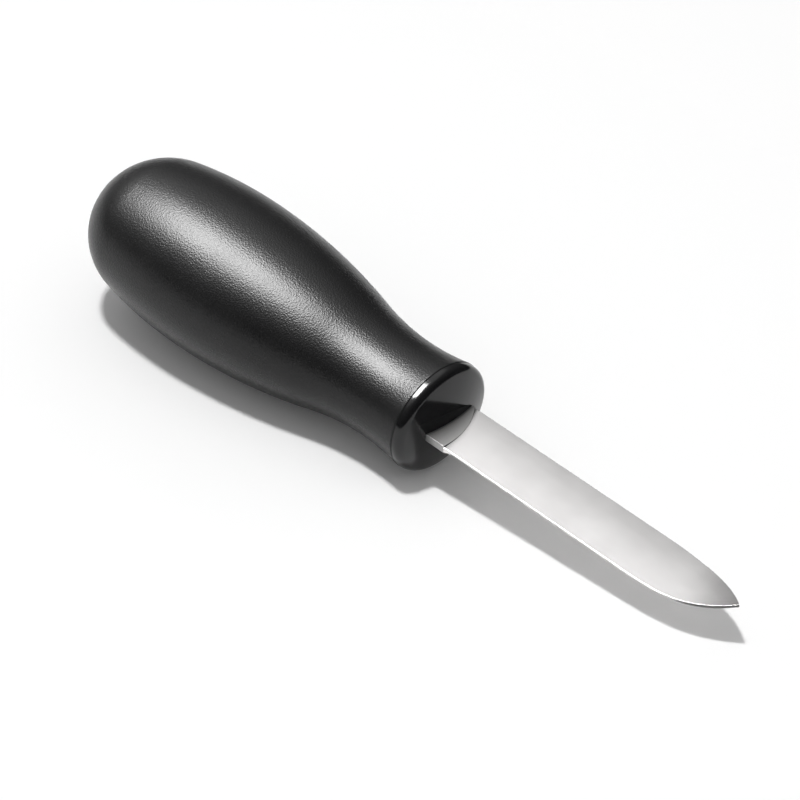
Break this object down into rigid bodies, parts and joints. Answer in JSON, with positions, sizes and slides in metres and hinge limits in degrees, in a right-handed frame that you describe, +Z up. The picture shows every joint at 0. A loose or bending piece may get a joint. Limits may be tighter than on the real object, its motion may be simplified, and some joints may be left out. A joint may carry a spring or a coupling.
{
  "type": "oyster knife",
  "caption": "Short blunt knife for opening oysters, with a pointed, slightly upturned steel blade and a plump oval soft grip behind a glossy front cap.",
  "frame": {"origin": "on the table under the middle of the knife's length, as it lies on its belly, with the grip's front rim just above the table", "axes": "+X towards the blade's point, +Y across the blade, +Z up from the table"},
  "size_m": [0.1642, 0.0355, 0.0334],
  "materials": {
    "blade_steel": "fine-ground and lightly polished stainless steel, duller at the root",
    "gloss_black": "glossy black hard plastic",
    "core_plastic": "plain black moulded plastic, hidden",
    "soft_black": "matt black soft rubber with a fine grain"
  },
  "bodies": {
    "root": {"blade": "blade_steel", "front_cap": "gloss_black", "core": "core_plastic", "grip": "soft_black"}
  },
  "joints": []
}
